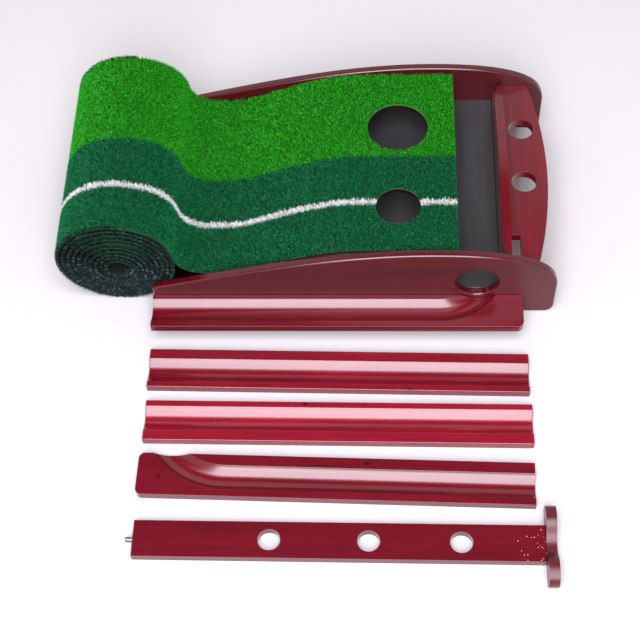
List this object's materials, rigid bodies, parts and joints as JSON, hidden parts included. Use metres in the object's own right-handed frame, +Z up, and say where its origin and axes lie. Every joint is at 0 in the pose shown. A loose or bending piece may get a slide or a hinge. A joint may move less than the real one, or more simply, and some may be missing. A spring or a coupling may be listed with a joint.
{
  "type": "practice putting mat",
  "caption": "Roll-out putting turf on an arched wooden end unit with ball holes, trough and shelf, a ball return track in sections, and a putter post.",
  "frame": {"origin": "centre of the bounding box on the floor", "axes": "+X along the tracks towards the ball shelf, +Y from the putter post across the end unit, +Z up"},
  "size_m": [0.664, 0.7312, 0.164],
  "materials": {
    "lacquered_wood": "clear gloss lacquer over red-brown stained wood",
    "plain_wood": "unfinished",
    "black_lining": "matt black",
    "pin_steel": "satin",
    "turf": "short looped green pile on a dark backing, with a white line"
  },
  "bodies": {
    "end_unit": {"backstop_board": "lacquered_wood", "ball_shelf": "lacquered_wood", "far_side_panel": "lacquered_wood", "fixed_track": "lacquered_wood", "front_rail": "plain_wood", "near_side_panel": "lacquered_wood", "platform_batten_far": "plain_wood", "platform_batten_near": "plain_wood", "platform_board": "lacquered_wood", "ramp_deck": "lacquered_wood", "ramp_rib": "plain_wood", "rear_base_board": "plain_wood", "track_dowel_1": "plain_wood", "track_dowel_2": "plain_wood", "track_dowel_3": "plain_wood", "trough_batten_far": "plain_wood", "trough_batten_near": "plain_wood", "trough_end_wall": "lacquered_wood", "trough_floor": "lacquered_wood", "trough_lining": "black_lining"},
    "turf": {"putting_mat": "turf"},
    "track_a": {"track_section_a": "lacquered_wood"},
    "track_b": {"track_section_b": "lacquered_wood"},
    "track_end": {"track_section_end": "lacquered_wood"},
    "putter_post": {"post_plank": "lacquered_wood", "post_pin": "pin_steel", "post_head": "lacquered_wood", "head_dowel_1": "plain_wood", "head_dowel_2": "plain_wood"}
  },
  "joints": [
    {"name": "turf_lift", "type": "slide", "parent": "end_unit", "child": "turf", "axis": [0, 0, 1], "range_m": [0, 0.2]},
    {"name": "track_a_lift", "type": "slide", "parent": "end_unit", "child": "track_a", "axis": [0, 0, 1], "range_m": [0, 0.15]},
    {"name": "track_b_lift", "type": "slide", "parent": "end_unit", "child": "track_b", "axis": [0, 0, 1], "range_m": [0, 0.15]},
    {"name": "track_end_lift", "type": "slide", "parent": "end_unit", "child": "track_end", "axis": [0, 0, 1], "range_m": [0, 0.15]},
    {"name": "post_lift", "type": "slide", "parent": "end_unit", "child": "putter_post", "axis": [0, 0, 1], "range_m": [0, 0.15]}
  ]
}
